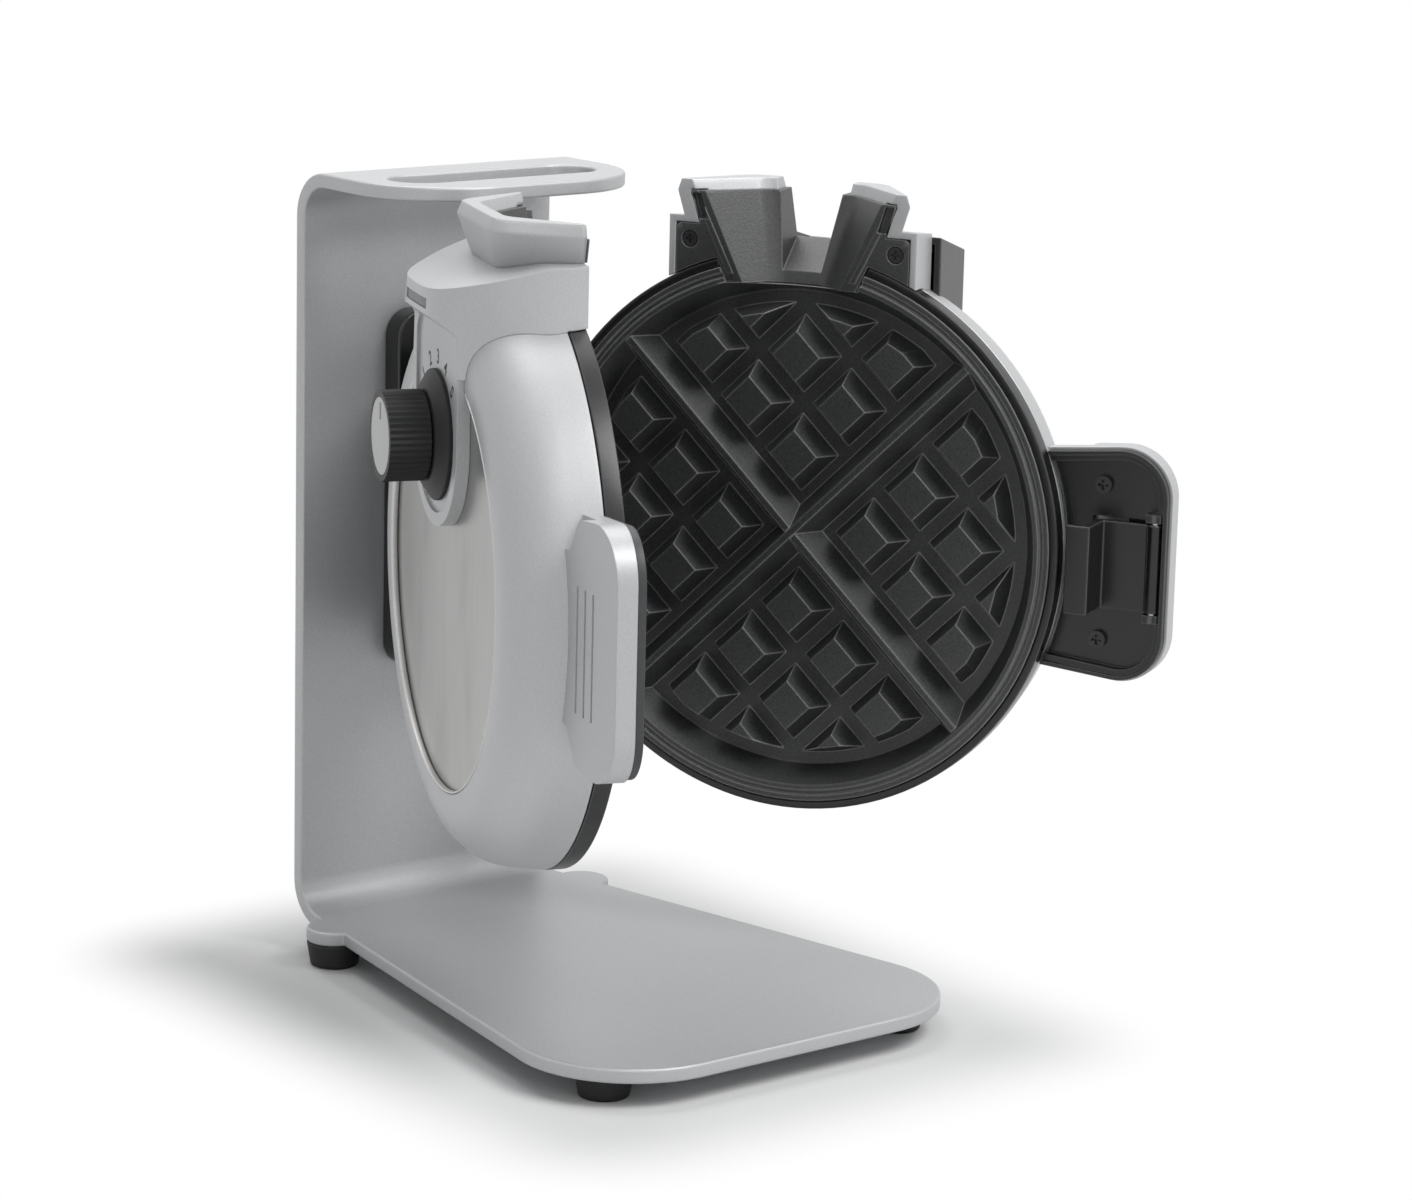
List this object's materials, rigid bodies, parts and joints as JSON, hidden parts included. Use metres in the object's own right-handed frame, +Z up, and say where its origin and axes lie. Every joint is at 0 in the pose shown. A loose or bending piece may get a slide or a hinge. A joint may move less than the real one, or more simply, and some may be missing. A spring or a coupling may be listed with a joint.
{
  "type": "vertical waffle maker",
  "caption": "Upright waffle maker: two round hinged cooking halves with a pouring spout, dial and latching handles on a bent plate stand.",
  "frame": {"origin": "centre of the overall box at the level of the feet, halves in the rest opening", "axes": "+Z up, -Y towards the free ends of the halves, X across the stand"},
  "size_m": [0.2486, 0.2704, 0.2833],
  "materials": {
    "silver_paint": "fine silver metallic paint, satin",
    "nonstick": "dark speckled non-stick coating on cast aluminium",
    "brushed_disc": "brushed stainless steel",
    "black_plastic": "black moulded plastic, fine grain",
    "grey_plastic": "dark grey moulded plastic",
    "silver_plastic": "silver plated plastic",
    "lens": "smoked clear plastic",
    "lamp_glass": "small glass lamp",
    "rubber": "black rubber",
    "steel": "plain steel",
    "black_screw": "blackened steel"
  },
  "bodies": {
    "stand": {"stand_frame": "silver_paint", "foot_front_left": "rubber", "foot_front_right": "rubber", "foot_rear_left": "rubber", "foot_rear_right": "rubber", "foot_screws": "steel", "hinge_bracket": "black_plastic", "bracket_screws": "steel", "hinge_pin": "steel", "cord_gland": "black_plastic"},
    "left_half": {"left_grid_plate": "nonstick", "left_carrier": "black_plastic", "left_heating_element": "steel", "left_heat_shield": "steel", "left_cover_screws": "steel", "left_spout_liner": "black_plastic", "left_liner_screws": "black_screw", "left_hinge_arm": "black_plastic", "left_cover": "silver_paint", "left_trim_disc": "brushed_disc", "left_neck": "silver_paint", "left_handle_shell": "silver_paint", "left_handle_tray": "grey_plastic", "left_handle_screws": "black_screw", "left_spout_cup": "silver_paint", "indicator_lens": "lens", "indicator_lamp": "lamp_glass", "dial_bezel": "black_plastic", "thermostat": "black_plastic"},
    "right_half": {"right_grid_plate": "nonstick", "right_carrier": "black_plastic", "right_heating_element": "steel", "right_heat_shield": "steel", "right_cover_screws": "steel", "right_spout_liner": "black_plastic", "right_liner_screws": "black_screw", "right_hinge_arm": "black_plastic", "right_cover": "silver_paint", "right_trim_disc": "brushed_disc", "right_neck": "silver_paint", "right_handle_shell": "silver_paint", "right_handle_tray": "black_plastic", "right_handle_screws": "black_screw", "right_neck_cover": "black_plastic", "thermal_fuse": "steel", "latch_pin": "steel", "latch_spring": "steel"},
    "knob": {"knob_body": "black_plastic", "knob_cap": "silver_plastic", "knob_pointer": "black_plastic", "knob_shaft": "steel"},
    "latch": {"latch_lever": "black_plastic"}
  },
  "joints": [
    {"name": "left_swing", "type": "hinge", "parent": "stand", "child": "left_half", "pos_m": [-0.01286, 0.10817, 0.1628], "axis": [0, 0, 1], "range_deg": [-23.5, 21.5]},
    {"name": "right_swing", "type": "hinge", "parent": "stand", "child": "right_half", "pos_m": [-0.01286, 0.10817, 0.1628], "axis": [0, 0, 1], "range_deg": [-27.8, 17.2]},
    {"name": "knob_turn", "type": "hinge", "parent": "left_half", "child": "knob", "pos_m": [-0.09677, 0.00429, 0.2098], "axis": [-0.9304, 0.3665, 0], "range_deg": [-44, 66]},
    {"name": "latch_pivot", "type": "hinge", "parent": "right_half", "child": "latch", "pos_m": [0.11479, -0.11766, 0.1628], "axis": [0, 0, 1], "range_deg": [-7, 0], "stiffness_Nm_per_rad": 0.2, "deforming": ["latch_spring"]}
  ]
}
